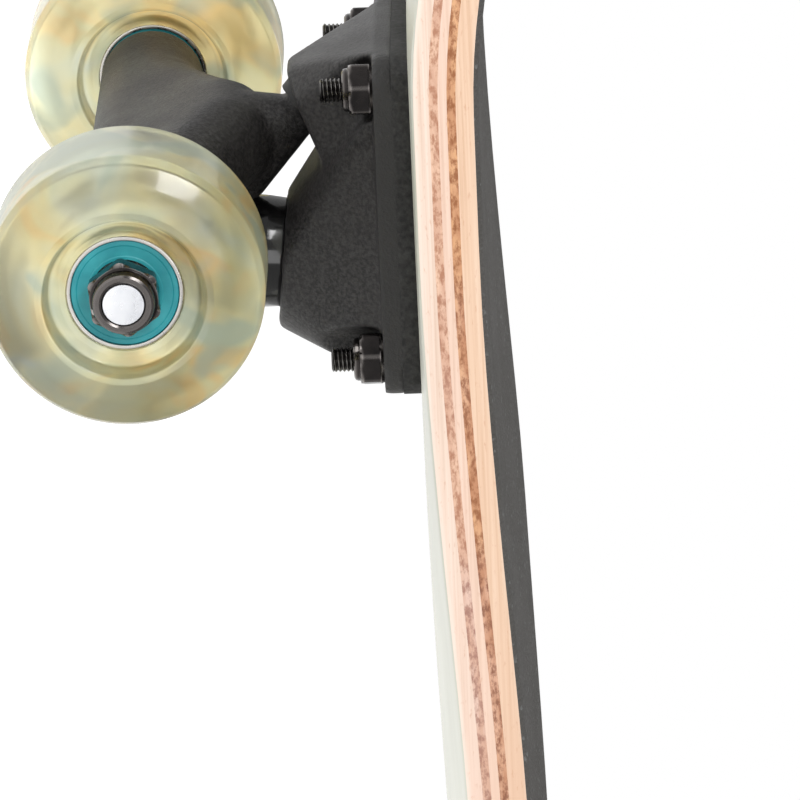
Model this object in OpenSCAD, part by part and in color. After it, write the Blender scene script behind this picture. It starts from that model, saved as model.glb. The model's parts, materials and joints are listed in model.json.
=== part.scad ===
// Complete skateboard: a pressed maple deck, two kingpin trucks and four urethane wheels.
// Frame: wheels down, +Z up, X along the deck, origin on the ground below the deck's middle.
// A truck is drawn with its axle over the origin and +X pointing to the deck's near end.

/* [Deck] */
// Length of the deck over both upturned ends
deck_l = 787; // [770:1:810]
// Width of the deck
deck_w = 200; // [194:1:210]
// Thickness of one veneer
ply_t = 1.63; // [1.57:0.01:1.68]
// Thickness of the grip tape
grip_t = 0.9; // [0.7:0.1:1.1]
// Height of the rails above the middle line, halfway along the deck
concave = 5.2; // [4:0.2:8]
// Height of the rails above the middle line, at the trucks and beyond
end_concave = 1.2; // [0.8:0.1:3]
// Rise of the middle line between the trucks, halfway along the deck
camber = 3.8; // [3:0.1:5]
// Angle of the upturned ends
kick_angle = 19; // [16:0.5:21]
// Bending radius where the ends turn up
kick_r = 150; // [130:5:170]
// Distance between the inner bolts of the two trucks
wheelbase = 355.6; // [350:0.1:362]

/* [Truck] */
// Width of the hanger between its two end faces
hanger_w = 127; // [125:0.5:129]
// Height of the axle above the ground, which is the wheel's radius
axle_z = 26; // [25.5:0.1:26.5]
// Bolt spacing along the deck
bolt_dx = 53.98; // [53.5:0.01:54.5]
// Bolt spacing across the deck
bolt_dy = 41.28; // [41:0.01:41.5]
// Distance from the axle, towards the middle of the deck, to the middle of the four bolts
bolt_mid = 8.1; // [7.5:0.1:8.5]
// Length of the baseplate's flange
flange_l = 67.8; // [66:0.1:68]
// Width of the baseplate's flange
flange_w = 54; // [53:0.5:56]
// Corner radius of the flange and the riser
flange_r = 6.2; // [5:0.1:6.3]
// Thickness of the flange
flange_t = 4.2; // [4:0.1:4.4]
// Thickness of the riser pad
riser_t = 3; // [2.8:0.1:3.2]
// Height of the flange's lower face above the ground
flange_z = 72; // [71.8:0.1:72.2]
// Lean of the kingpin from the vertical
kingpin_lean = 5.3; // [5:0.1:5.6]
// Angle of the steering axis above the horizontal
steer_angle = 39.9; // [39.5:0.1:40.3]

/* [Wheels] */
// Width of the wheel
wheel_w = 32.5; // [31:0.5:33]
// Width of the flat tread
tread_w = 20; // [18:0.5:22]
// Radius of the opening in the wheel's face
face_r = 14.8; // [14:0.1:15.5]
// Distance between the outer faces of a wheel's two bearings
bearing_span = 24; // [23.9:0.1:24.1]

/* [Hidden] */
$fn = 64;
ENDS = ["front", "rear"];
SIDES = ["left", "right"];
PLIES = 7;
TRUCK_PARTS = ["riser_pad", "baseplate", "pivot_cup", "kingpin", "kingpin_nut", "bushing_board",
    "bushing_road", "washer_road", "hanger", "axle", "deck_bolts", "deck_nuts", "axle_nuts",
    "speed_washers", "inner_races", "spacers"];
WHEEL_PARTS = ["tyre", "outer_races", "shields", "ball_cages"];

deck_z = flange_z + flange_t + riser_t;
deck_t = PLIES * ply_t;
deck_top = deck_z + deck_t + grip_t;
truck_x = wheelbase / 2 + bolt_dx / 2 + bolt_mid;
bolt_r = 2.4;
bolt_hole_r = 2.75;
bolt_head_r = 4.75;
bolt_head_h = 2.8;
bolt_tip_z = 61.8;
nut_h = 5.9;
nut_af = 9.5;
nut_collar_h = 1.3;
nut_collar_r = 4.1;
recess_l = 5.2;
recess_w = 1.1;
recess_depth = 1.7;
thread_gap = 0.02;
past = 1;

// Deck outline and pressing
kick_x = 247;
taper_x = 262;
taper_power = 2.3;
blunt_end = 0.998;
concave_from = 110;
concave_to = 222;
flat_share = 0.3;
camber_to = truck_x - bolt_mid - flange_l / 2 - 0.5;
arc_l = kick_r * kick_angle * PI / 180;
arc_x = kick_x + kick_r * sin(kick_angle);
arc_rise = kick_r * (1 - cos(kick_angle));
straight_l = (deck_l / 2 - arc_x) / cos(kick_angle);
HALF_STATIONS = concat([20, 50, 80, 110, 140, camber_to, 205, kick_x],
    [for (i = [1:4]) kick_x + arc_l * i / 4],
    [for (u = [0.3, 0.55, 0.72, 0.84, 0.92, 0.965, 0.99, 1]) kick_x + arc_l + straight_l * u]);
STATIONS = concat([for (i = [len(HALF_STATIONS) - 1:-1:0]) -HALF_STATIONS[i]], HALF_STATIONS);
COLUMNS = [-1, -0.82, -0.58, -flat_share, flat_share, 0.58, 0.82, 1];

// Kingpin and steering line, in the truck's own XZ plane
seat_x = -18.9;
seat_z = 52.4;
recess_t = 1.2;
ring_at = 17.9;
ring_h = 9;
ring_r = 14.4;
ring_hole_r = 7;
ring_top = ring_at - ring_h / 2;
ring_low = ring_at + ring_h / 2;
seat_h = 1;
head_depth = 6;
head_r = 7.4;
head_seat = 1.5;
road_h = 12;
road_low = ring_low - seat_h + road_h;
cup_washer_r = 10.6;
cup_washer_t = 1.4;
cup_washer_lip = 1.6;
kingpin_nut_h = 6.8;
kingpin_nut_af = 14.3;
kingpin_r = 4.76;
kingpin_up = (flange_z + flange_t - seat_z) / cos(kingpin_lean) - head_seat;
kingpin_l = road_low + cup_washer_t + kingpin_nut_h + 1;
kingpin_dir = [sin(kingpin_lean), -cos(kingpin_lean)];
ring_c = [seat_x, seat_z] + ring_at * kingpin_dir;
steer_dir = [cos(steer_angle), sin(steer_angle)];
boss_r = 13;
boss_t = 3;
housing_r = 8.8;
housing_at = 28.3;
housing_l = 10.8;
pocket_r = 6.2;
pocket_h = 30;
cup_at = 36.5;
cup_l = 5;
cup_r = 5.5;
cup_floor = 1;
nose_r = 4;
nose_gap = 0.3;
rim_angle = 68;
bushing_r = 11;
bushing_bore_r = 4.95;
bushing_gap = 0.3;
sway = 3;

// Hanger
barrel_r = 10.4;
barrel_step = 1.2;
crown_c = [5, 42];
crown_r = 9.5;
crown_flat = 7;
crown_power = 1.7;
wing_reach = 56;
HALF_WIDTHS = [0, 7, 12, 17, 22, 28, 35, 43, 51, wing_reach, hanger_w / 2 - barrel_step, hanger_w / 2];
WIDTHS = concat([for (i = [len(HALF_WIDTHS) - 1:-1:1]) -HALF_WIDTHS[i]], HALF_WIDTHS);
RING_POINTS = 28;

// Axle stack, outwards from the hanger's end face
axle_r = 3.96;
speed_washer_t = 0.8;
bearing_w = 7;
race_bore_r = 4;
race_r = 11;
ball_r = 1.985;
ball_circle_r = 7.5;
ball_count = 7;
cage_h = 4.7;
groove_r = 2.03;
land_in_r = 6.05;
land_out_r = 8.95;
shield_r = 10.1;
shield_t = 0.4;
stack_y = hanger_w / 2 + speed_washer_t;
wheel_y = stack_y + bearing_span / 2;
speed_washer_r = 5.8;
spacer_r = 5.3;
axle_nut_h = 7;
axle_nut_af = 12.7;
axle_nut_collar_h = 2.9;
axle_nut_collar_r = 5.8;
axle_end_y = stack_y + bearing_span + speed_washer_t + axle_nut_h - 0.1;
// Middle planes of a wheel's two bearings, from the wheel's middle
BEARINGS = [-(bearing_span - bearing_w) / 2, (bearing_span - bearing_w) / 2];

// Wheel section
edge_r = 2.4;
edge_turn = 60;
core_r = 8.4;
lip_r = 0.9;
rim_step = 1.2;
face_bulge = 0.7;

// ---------- placing ----------
function end_sign(end) = end == "front" ? 1 : -1;
function side_sign(side) = side == "left" ? 1 : -1;

module at_truck(end) {
    translate([end_sign(end) * truck_x, 0, 0]) rotate([0, 0, end == "front" ? 0 : 180]) children();
}

// Z runs along the wheel's axle from the wheel's middle
module at_wheel(end, side) {
    translate([end_sign(end) * truck_x, side_sign(side) * wheel_y, axle_z])
        rotate([-90 * side_sign(side), 0, 0]) children();
}

// Z runs down the kingpin from the bushing seat
module on_kingpin(t) {
    translate([seat_x + t * kingpin_dir[0], 0, seat_z + t * kingpin_dir[1]])
        rotate([0, 180 - kingpin_lean, 0]) children();
}

// Z runs up the steering line from the middle of the kingpin ring
module on_steer(t) {
    translate([ring_c[0] + t * steer_dir[0], 0, ring_c[1] + t * steer_dir[1]])
        rotate([0, 90 - steer_angle, 0]) children();
}

module on_axle(y) { translate([0, y, axle_z]) rotate([-90, 0, 0]) children(); }
module at_both_ends() { for (turn = [0, 180]) rotate([0, 0, turn]) children(); }
module at_bolts() {
    for (x = [-1, 1], y = [-1, 1]) translate([-bolt_mid + x * bolt_dx / 2, y * bolt_dy / 2, 0]) children();
}

// ---------- deck ----------
function smooth(u) = let (c = min(1, max(0, u))) c * c * (3 - 2 * c);
function rail_rise(x) = end_concave * pow(2 * half_width(x) / deck_w, 2)
    + (concave - end_concave) * (1 - smooth((x - concave_from) / (concave_to - concave_from)));
function bend(s) = kick_angle * min(1, max(0, (abs(s) - kick_x) / arc_l));
function path_x(s) = let (a = abs(s)) a < kick_x ? a
    : a < kick_x + arc_l ? kick_x + kick_r * sin(bend(s)) : arc_x + (a - kick_x - arc_l) * cos(kick_angle);
function path_z(s) = let (a = abs(s)) a < camber_to ? camber * (1 + cos(180 * a / camber_to)) / 2
    : a < kick_x ? 0
    : a < kick_x + arc_l ? kick_r * (1 - cos(bend(s))) : arc_rise + (a - kick_x - arc_l) * sin(kick_angle);
function half_width(x) = let (u = blunt_end * max(0, (x - taper_x) / (deck_l / 2 - taper_x)))
    deck_w / 2 * pow(1 - pow(u, taper_power), 1 / taper_power);
function bowl(v) = pow(max(0, (abs(v) - flat_share) / (1 - flat_share)), 2);

// A point of the pressed stack: s along the deck, v across it from -1 to 1, h above its lower face
function deck_point(s, v, h) = let (x = path_x(s), lift = rail_rise(x) * bowl(v)) [
    sign(s) * (x - h * sin(bend(s))),
    v * half_width(x),
    deck_z + path_z(s) + h * cos(bend(s)) + lift];

module pressed_sheet(low, high) {
    rows = len(STATIONS);
    cols = len(COLUMNS);
    points = [for (h = [low, high], s = STATIONS, v = COLUMNS) deck_point(s, v, h)];
    function at(layer, i, j) = layer * rows * cols + i * cols + j;
    faces = concat(
        [for (i = [0:rows - 2], j = [0:cols - 2]) each [
            [at(0, i, j), at(0, i + 1, j), at(0, i + 1, j + 1)],
            [at(0, i, j), at(0, i + 1, j + 1), at(0, i, j + 1)],
            [at(1, i, j), at(1, i + 1, j + 1), at(1, i + 1, j)],
            [at(1, i, j), at(1, i, j + 1), at(1, i + 1, j + 1)]]],
        [for (i = [0:rows - 2]) each [
            [at(0, i, 0), at(1, i, 0), at(1, i + 1, 0), at(0, i + 1, 0)],
            [at(0, i, cols - 1), at(0, i + 1, cols - 1), at(1, i + 1, cols - 1), at(1, i, cols - 1)]]],
        [for (j = [0:cols - 2]) each [
            [at(0, 0, j), at(0, 0, j + 1), at(1, 0, j + 1), at(1, 0, j)],
            [at(0, rows - 1, j), at(1, rows - 1, j), at(1, rows - 1, j + 1), at(0, rows - 1, j + 1)]]]);
    difference() {
        polyhedron(points, faces, convexity = 4);
        for (end = ENDS) at_truck(end) at_bolts() bolt_space();
    }
}

module bolt_space() {
    wide_r = bolt_head_r + 0.2;
    translate([0, 0, deck_z - past]) cylinder(r = bolt_hole_r, h = deck_t + past);
    translate([0, 0, deck_top - bolt_head_h]) cylinder(r1 = bolt_hole_r, r2 = wide_r, h = bolt_head_h);
    translate([0, 0, deck_top]) cylinder(r = wide_r, h = past);
}

module deck_ply(i) {
    color(i == 3 || i == 5 ? "peru" : "burlywood") pressed_sheet((i - 1) * ply_t, i * ply_t);
}

module grip_tape() { color("dimgray") pressed_sheet(deck_t, deck_t + grip_t); }

// ---------- truck, fixed half ----------
module rounded_plate(l, w, r, t) {
    translate([-l / 2 + r, -w / 2, 0]) cube([l - 2 * r, w, t]);
    translate([-l / 2, -w / 2 + r, 0]) cube([l, w - 2 * r, t]);
    for (x = [-1, 1], y = [-1, 1]) translate([x * (l / 2 - r), y * (w / 2 - r), 0]) cylinder(r = r, h = t);
}

module riser_pad() {
    color("black") difference() {
        translate([-bolt_mid, 0, flange_z + flange_t]) rounded_plate(flange_l, flange_w, flange_r, riser_t);
        at_bolts() translate([0, 0, flange_z]) cylinder(r = bolt_hole_r, h = flange_t + riser_t + past);
    }
}

// A thin slab under the flange, where a rib of the casting runs into it
module flange_foot(x, l, w) { translate([x, 0, flange_z]) cube([l, w, 0.2], center = true); }

module nut_pockets() {
    at_bolts() translate([0, 0, flange_z - pocket_h]) cylinder(r = pocket_r, h = pocket_h);
}

module kingpin_boss() {
    difference() {
        hull() {
            translate([-1.6, 0, 0]) on_kingpin(-boss_t) cylinder(r = boss_r, h = boss_t, $fn = 32);
            flange_foot(-12, 54, 46);
        }
        nut_pockets();
    }
}

module pivot_housing() {
    difference() {
        hull() {
            on_steer(housing_at) cylinder(r = housing_r, h = housing_l, $fn = 32);
            flange_foot(flange_l / 2 - bolt_mid - 16.4, 32.4, 38);
        }
        translate([ring_c[0] + cup_at * steer_dir[0], 0, ring_c[1] + cup_at * steer_dir[1]])
            rotate([0, 90 - rim_angle, 0]) translate([-40, -40, -60]) cube([80, 80, 60]);
        nut_pockets();
    }
}

module baseplate() {
    color("dimgray") difference() {
        union() {
            translate([-bolt_mid, 0, flange_z]) rounded_plate(flange_l, flange_w, flange_r, flange_t);
            kingpin_boss();
            pivot_housing();
        }
        at_bolts() translate([0, 0, flange_z - past]) cylinder(r = bolt_hole_r, h = flange_t + 2 * past);
        on_kingpin(-40) cylinder(r = kingpin_r + thread_gap, h = 50);
        on_kingpin(-kingpin_up - 10) cylinder(r = head_r + 0.1, h = head_depth + 10);
        on_kingpin(-recess_t) cylinder(r = bushing_r + bushing_gap, h = 10);
        on_steer(cup_at - 12) cylinder(r = cup_r, h = cup_l + 12);
    }
}

module pivot_cup() {
    color("dimgray") on_steer(cup_at + 0.4) difference() {
        cylinder(r = cup_r, h = cup_l - 0.4);
        translate([0, 0, -past]) cylinder(r = nose_r + 0.08, h = cup_l - 0.4 - cup_floor + past);
    }
}

module kingpin() {
    color("silver") on_kingpin(-kingpin_up) {
        cylinder(r = head_r, h = head_depth);
        cylinder(r = kingpin_r, h = kingpin_up + kingpin_l);
    }
}

module bushing_board() {
    h = recess_t + ring_top + seat_h - 0.05;
    color("black") on_kingpin(-recess_t) rotate_extrude() polygon([[bushing_bore_r, 0], [bushing_r, 0],
        [bushing_r, h - 1], [bushing_r - 1, h], [bushing_bore_r, h]]);
}

module bushing_road() {
    color("black") on_kingpin(ring_low - seat_h + 0.05) rotate_extrude() polygon([[bushing_bore_r, 0],
        [bushing_r - 1, 0], [bushing_r, 1], [bushing_r - 0.4, 4], [bushing_r - 2.4, road_h - 0.05],
        [bushing_bore_r, road_h - 0.05]]);
}

module washer_road() {
    color("silver") on_kingpin(road_low) difference() {
        translate([0, 0, -cup_washer_lip]) cylinder(r = cup_washer_r, h = cup_washer_t + cup_washer_lip);
        translate([0, 0, -cup_washer_lip - past]) cylinder(r = cup_washer_r - 1.2, h = cup_washer_lip + past);
        translate([0, 0, -past]) cylinder(r = kingpin_r + 0.2, h = cup_washer_t + 2 * past);
    }
}

module kingpin_nut() {
    color("silver") on_kingpin(road_low + cup_washer_t) difference() {
        cylinder(d = kingpin_nut_af / cos(30), h = kingpin_nut_h, $fn = 6);
        translate([0, 0, -past]) cylinder(r = kingpin_r + thread_gap, h = kingpin_nut_h + 2 * past);
    }
}

module deck_bolts() {
    color("black") at_bolts() difference() {
        union() {
            translate([0, 0, bolt_tip_z]) cylinder(r = bolt_r, h = deck_top - bolt_tip_z - 1);
            translate([0, 0, deck_top - bolt_head_h])
                cylinder(r1 = bolt_r, r2 = bolt_head_r, h = bolt_head_h);
        }
        translate([0, 0, deck_top]) for (turn = [0, 90]) rotate([0, 0, turn])
            cube([recess_l, recess_w, 2 * recess_depth], center = true);
    }
}

module deck_nuts() {
    color("black") at_bolts() translate([0, 0, flange_z - nut_h]) difference() {
        union() {
            translate([0, 0, nut_collar_h]) cylinder(d = nut_af / cos(30), h = nut_h - nut_collar_h, $fn = 6);
            cylinder(r = nut_collar_r, h = nut_h);
        }
        translate([0, 0, -past]) cylinder(r = bolt_r + thread_gap, h = nut_h + 2 * past);
    }
}

// ---------- truck, steering half ----------
// How much of the crown a section keeps at distance y from the middle
function crown_share(y) = let (u = max(0, abs(y) - crown_flat) / (wing_reach - crown_flat))
    u >= 1 ? 0 : pow(1 - u, crown_power);
function barrel_at(y) = abs(y) > hanger_w / 2 - barrel_step / 2 ? barrel_r - barrel_step : barrel_r;

// Section of the hanger: the outline round the axle barrel and the crown above it
function section(y) = let (k = crown_share(y), a = [0, axle_z], ra = barrel_at(y),
    b = a + k * (crown_c - a), rb = min(ra, crown_r + (ra - crown_r) * (1 - k)))
    [for (i = [0:RING_POINTS - 1]) let (t = 360 * i / RING_POINTS, u = [cos(t), sin(t)],
        p = a * u + ra >= b * u + rb ? a + ra * u : b + rb * u) [p[0], y, p[1]]];

module hanger_wings() {
    rows = len(WIDTHS);
    n = RING_POINTS;
    points = [for (y = WIDTHS) each section(y)];
    faces = concat([[for (i = [n - 1:-1:0]) i]], [[for (i = [0:n - 1]) (rows - 1) * n + i]],
        [for (r = [0:rows - 2], i = [0:n - 1]) let (j = (i + 1) % n) each [
            [r * n + i, r * n + j, (r + 1) * n + j], [r * n + i, (r + 1) * n + j, (r + 1) * n + i]]]);
    polyhedron(points, faces, convexity = 4);
}

module hanger_neck() {
    hull() {
        on_steer(15) cylinder(r = 4.6, h = cup_at - 16.2, $fn = 32);
        translate([crown_c[0], 0, crown_c[1]]) sphere(r = crown_r - 0.2, $fn = 32);
    }
}

module ring_arm() {
    hull() {
        on_kingpin(ring_top) cylinder(r = ring_r, h = ring_h, $fn = 40);
        translate([0, 12, axle_z + 1]) rotate([90, 0, 0]) cylinder(r = 8.6, h = 24, $fn = 32);
    }
    hull() {
        on_kingpin(ring_top + 1) cylinder(r = 9, h = ring_h - 2, $fn = 32);
        on_steer(18) sphere(r = 4.5, $fn = 32);
        translate([crown_c[0] - 2, 0, crown_c[1] - 4]) sphere(r = 8, $fn = 32);
    }
}

module hanger() {
    color("dimgray") difference() {
        union() {
            hanger_wings();
            hanger_neck();
            ring_arm();
            on_steer(20) cylinder(r = nose_r, h = cup_at + cup_l - cup_floor - nose_gap - 20);
        }
        on_axle(-hanger_w) cylinder(r = axle_r + 0.01, h = 2 * hanger_w);
        on_kingpin(ring_top - 20) cylinder(r = bushing_r + bushing_gap, h = 20 + seat_h);
        on_kingpin(ring_low - seat_h) cylinder(r = bushing_r + bushing_gap, h = 30);
        for (y = [-sway, sway]) translate([0, y, 0]) on_kingpin(ring_low + 2)
            cylinder(r = bushing_r + bushing_gap, h = 30);
        on_kingpin(0) cylinder(r = ring_hole_r, h = 40);
    }
}

module axle() {
    color("silver") on_axle(-axle_end_y) cylinder(r = axle_r, h = 2 * axle_end_y);
}

module axle_nuts() {
    color("black") at_both_ends() on_axle(stack_y + bearing_span + speed_washer_t) difference() {
        union() {
            cylinder(d = axle_nut_af / cos(30), h = axle_nut_h - axle_nut_collar_h, $fn = 6);
            cylinder(r = axle_nut_collar_r, h = axle_nut_h);
        }
        translate([0, 0, -past]) cylinder(r = axle_r + thread_gap, h = axle_nut_h + 2 * past);
    }
}

module speed_washers() {
    places = [hanger_w / 2, stack_y + bearing_span];
    color("silver") at_both_ends() for (y = places) on_axle(y) difference() {
        cylinder(r = speed_washer_r, h = speed_washer_t);
        translate([0, 0, -past]) cylinder(r = race_bore_r + 0.1, h = speed_washer_t + 2 * past);
    }
}

// ---------- bearings ----------
module inner_race() {
    rotate_extrude() difference() {
        translate([race_bore_r, -bearing_w / 2]) square([land_in_r - race_bore_r, bearing_w]);
        translate([ball_circle_r, 0]) circle(r = groove_r);
    }
}

module inner_races() {
    color("silver") at_both_ends() for (z = BEARINGS) on_axle(wheel_y + z) inner_race();
}

module spacers() {
    color("silver") at_both_ends() on_axle(wheel_y - bearing_span / 2 + bearing_w) difference() {
        cylinder(r = spacer_r, h = bearing_span - 2 * bearing_w);
        translate([0, 0, -past]) cylinder(r = race_bore_r + 0.02, h = bearing_span);
    }
}

module outer_races() {
    color("white") for (z = BEARINGS) translate([0, 0, z]) rotate_extrude() difference() {
        translate([land_out_r, -bearing_w / 2]) square([race_r - land_out_r, bearing_w]);
        translate([ball_circle_r, 0]) circle(r = groove_r);
        for (y = [-bearing_w / 2 - 0.2, bearing_w / 2 - 0.8]) translate([land_out_r - 1, y])
            square([shield_r - land_out_r + 1, 1]);
    }
}

module shields() {
    color("teal") for (z = BEARINGS, side = [-1, 1])
        translate([0, 0, z + side * (bearing_w / 2 - 0.8 + shield_t / 2) - shield_t / 2]) difference() {
            cylinder(r = shield_r, h = shield_t);
            translate([0, 0, -1]) cylinder(r = land_in_r + 0.25, h = 3);
        }
}

module ball_cages() {
    color("silver") for (z = BEARINGS) translate([0, 0, z]) {
        difference() {
            rotate_extrude() translate([ball_circle_r - 0.6, -cage_h / 2]) square([1.2, cage_h]);
            for (i = [1:ball_count]) rotate([0, 0, 360 * i / ball_count]) rotate([0, 90, 0])
                translate([0, 0, ball_circle_r - 2]) cylinder(r = ball_r + 0.04, h = 4);
        }
        for (i = [1:ball_count]) rotate([0, 0, 360 * i / ball_count]) translate([ball_circle_r, 0, 0])
            sphere(r = ball_r);
    }
}

// ---------- wheel ----------
function arc(c, r, from, to, n) =
    [for (i = [0:n]) let (t = from + (to - from) * i / n) c + r * [cos(t), sin(t)]];

// Outline of the tyre's upper half from the bore out to the tread: radius, distance from the middle
function tyre_half() = concat([[core_r, 0], [core_r, bearing_span / 2 - bearing_w],
        [race_r, bearing_span / 2 - bearing_w], [race_r, bearing_span / 2 + 0.3]],
    [[face_r - rim_step, bearing_span / 2 + 0.8]],
    arc([face_r + lip_r, wheel_w / 2 - lip_r], lip_r, 190, 75, 5),
    [for (u = [0.25, 0.5, 0.75]) side_face(u)],
    arc([axle_z - edge_r, tread_w / 2], edge_r, edge_turn, 0, 4), [[axle_z, 0]]);

// A point of the gently crowned side face, from the lip (0) to the tread's edge (1)
function side_face(u) = let (a = [face_r + 1.6, wheel_w / 2],
    b = [axle_z - edge_r * (1 - cos(edge_turn)), tread_w / 2 + edge_r * sin(edge_turn)])
    a + u * (b - a) + [0, face_bulge * sin(180 * u)];

module tyre() {
    half = tyre_half();
    last = len(half) - 1;
    color("khaki") rotate_extrude($fn = 128)
        polygon(concat([for (i = [1:last - 1]) half[i]],
            [for (i = [last - 1:-1:1]) [half[i][0], -half[i][1]]]));
}

for (i = [1:PLIES]) deck_ply(i);
grip_tape();

for (end = ENDS) at_truck(end) {
    riser_pad();
    baseplate();
    pivot_cup();
    kingpin();
    kingpin_nut();
    bushing_board();
    bushing_road();
    washer_road();
    hanger();
    axle();
    deck_bolts();
    deck_nuts();
    axle_nuts();
    speed_washers();
    inner_races();
    spacers();
}

for (end = ENDS, side = SIDES) at_wheel(end, side) {
    tyre();
    outer_races();
    shields();
    ball_cages();
}
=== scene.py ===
"""Looks of a complete skateboard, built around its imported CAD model.

Sizes and places are in millimetres until a mesh is made of them. Lamps and the camera are in metres.
"""
import json
import math

import bmesh
import bpy
from mathutils import Matrix, Vector


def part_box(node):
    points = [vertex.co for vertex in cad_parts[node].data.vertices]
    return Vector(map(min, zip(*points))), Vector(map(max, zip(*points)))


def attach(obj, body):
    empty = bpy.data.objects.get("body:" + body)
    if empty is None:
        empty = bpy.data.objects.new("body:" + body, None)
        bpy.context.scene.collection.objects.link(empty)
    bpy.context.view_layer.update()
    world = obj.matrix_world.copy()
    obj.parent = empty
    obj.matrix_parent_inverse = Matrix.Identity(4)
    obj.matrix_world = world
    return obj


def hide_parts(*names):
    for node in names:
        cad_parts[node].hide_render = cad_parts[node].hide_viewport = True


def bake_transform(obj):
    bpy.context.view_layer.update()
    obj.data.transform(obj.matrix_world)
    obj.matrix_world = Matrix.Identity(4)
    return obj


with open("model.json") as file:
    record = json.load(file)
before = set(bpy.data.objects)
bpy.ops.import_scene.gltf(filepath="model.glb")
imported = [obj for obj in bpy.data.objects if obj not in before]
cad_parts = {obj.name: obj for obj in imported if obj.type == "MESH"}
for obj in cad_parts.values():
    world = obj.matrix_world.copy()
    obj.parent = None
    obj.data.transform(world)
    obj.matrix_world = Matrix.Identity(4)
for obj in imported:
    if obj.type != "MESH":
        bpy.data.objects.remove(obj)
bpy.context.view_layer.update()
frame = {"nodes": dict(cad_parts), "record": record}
NODES = frame["nodes"]

MM = 0.001
# Height of the face of the baseplate's flange that the deck nuts seat on
FLANGE_Z = 72
# Which way each end lies along X, and each side along Y
ENDS = {"front": 1, "rear": -1}
SIDES = {"left": 1, "right": -1}


def centre_mm(node):
    """Middle of a CAD node's box, in millimetres."""
    low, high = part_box(node)
    return (low + high) * 0.5 / MM


# ---------------------------------------------------------------- meshes
def mesh_from(name, verts, faces):
    """A closed mesh from points in millimetres, with doubled points joined and normals facing out."""
    mesh = bpy.data.meshes.new(name)
    mesh.from_pydata([Vector(v) * MM for v in verts], [], faces)
    shape = bmesh.new()
    shape.from_mesh(mesh)
    bmesh.ops.remove_doubles(shape, verts=shape.verts, dist=2e-7)
    bmesh.ops.dissolve_degenerate(shape, edges=shape.edges, dist=1e-7)
    bmesh.ops.recalc_face_normals(shape, faces=shape.faces)
    shape.to_mesh(mesh)
    shape.free()
    return mesh


def joined(name, meshes):
    """Several meshes as one; the meshes themselves are used up."""
    shape = bmesh.new()
    for mesh in meshes:
        shape.from_mesh(mesh)
        bpy.data.meshes.remove(mesh)
    result = bpy.data.meshes.new(name)
    shape.to_mesh(result)
    shape.free()
    return result


def rounded(corners, steps=4, closed=True):
    """An outline from (x, y, corner radius) points, with each corner rounded off."""
    outline = []
    count = len(corners)
    for i, (x, y, radius) in enumerate(corners):
        here = Vector((x, y))
        if radius == 0 or (not closed and i in (0, count - 1)):
            outline.append((x, y))
            continue
        back = Vector(corners[i - 1][:2]) - here
        ahead = Vector(corners[(i + 1) % count][:2]) - here
        half_angle = back.angle(ahead) / 2
        cut = min(radius / max(math.tan(half_angle), 0.05), 0.48 * back.length, 0.48 * ahead.length)
        start = here + back.normalized() * cut
        end = here + ahead.normalized() * cut
        for k in range(steps + 1):
            t = k / steps
            point = start * (1 - t) ** 2 + here * 2 * t * (1 - t) + end * t * t
            outline.append((point.x, point.y))
    return outline


def turned(name, profile, place, segments, limit=None, closed=True, thread=None):
    """A profile of (radius, height) turned about Z. limit(angle) caps the radius, as a hexagon does,
    and thread = (from, to, pitch, depth) cuts a screw thread between two heights."""
    verts = []
    for i in range(segments):
        angle = 2 * math.pi * i / segments
        cap = limit(angle) if limit else math.inf
        for radius, height in profile:
            r = min(radius, cap)
            if thread and thread[0] <= height <= thread[1]:
                turn = (height / thread[2] - i / segments) % 1
                r -= thread[3] * abs(2 * turn - 1)
            verts.append(place @ Vector((r * math.cos(angle), r * math.sin(angle), height)))
    count = len(profile)
    faces = []
    for i in range(segments):
        j = (i + 1) % segments
        for k in range(count if closed else count - 1):
            n = (k + 1) % count
            faces.append((i * count + k, j * count + k, j * count + n, i * count + n))
    return mesh_from(name, verts, faces)


def hexagon(across_flats, corner):
    """Radius of a hexagon at an angle, with its corners blunted to a share of their full reach."""
    def radius(angle):
        flat = across_flats / 2 / math.cos((angle + math.pi / 6) % (math.pi / 3) - math.pi / 6)
        return min(flat, corner * across_flats / math.sqrt(3))
    return radius


def cut_away(mesh, cutters):
    """The mesh with every cutter mesh taken out of it."""
    body = bpy.data.objects.new("cut_body", mesh)
    tool = bpy.data.objects.new("cut_tool", joined("cut_tool", cutters))
    for o in (body, tool):
        bpy.context.scene.collection.objects.link(o)
    change = body.modifiers.new("cut", "BOOLEAN")
    change.operation = "DIFFERENCE"
    change.solver = "EXACT"
    change.object = tool
    graph = bpy.context.evaluated_depsgraph_get()
    result = bpy.data.meshes.new_from_object(body.evaluated_get(graph))
    for o in (body, tool):
        bpy.data.objects.remove(o)
    return result


def modified(mesh, *changes, weights=None):
    """The mesh after (modifier kind, settings) changes. weights(point) gives the shares of a vertex
    group named "soft"."""
    obj = bpy.data.objects.new("modified", mesh)
    bpy.context.scene.collection.objects.link(obj)
    if weights:
        group = obj.vertex_groups.new(name="soft")
        for vertex in mesh.vertices:
            group.add([vertex.index], weights(vertex.co), "REPLACE")
    for kind, settings in changes:
        modifier = obj.modifiers.new(kind, kind)
        for key, value in settings.items():
            setattr(modifier, key, value)
    graph = bpy.context.evaluated_depsgraph_get()
    result = bpy.data.meshes.new_from_object(obj.evaluated_get(graph))
    bpy.data.objects.remove(obj)
    bpy.data.meshes.remove(mesh)
    return result


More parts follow.
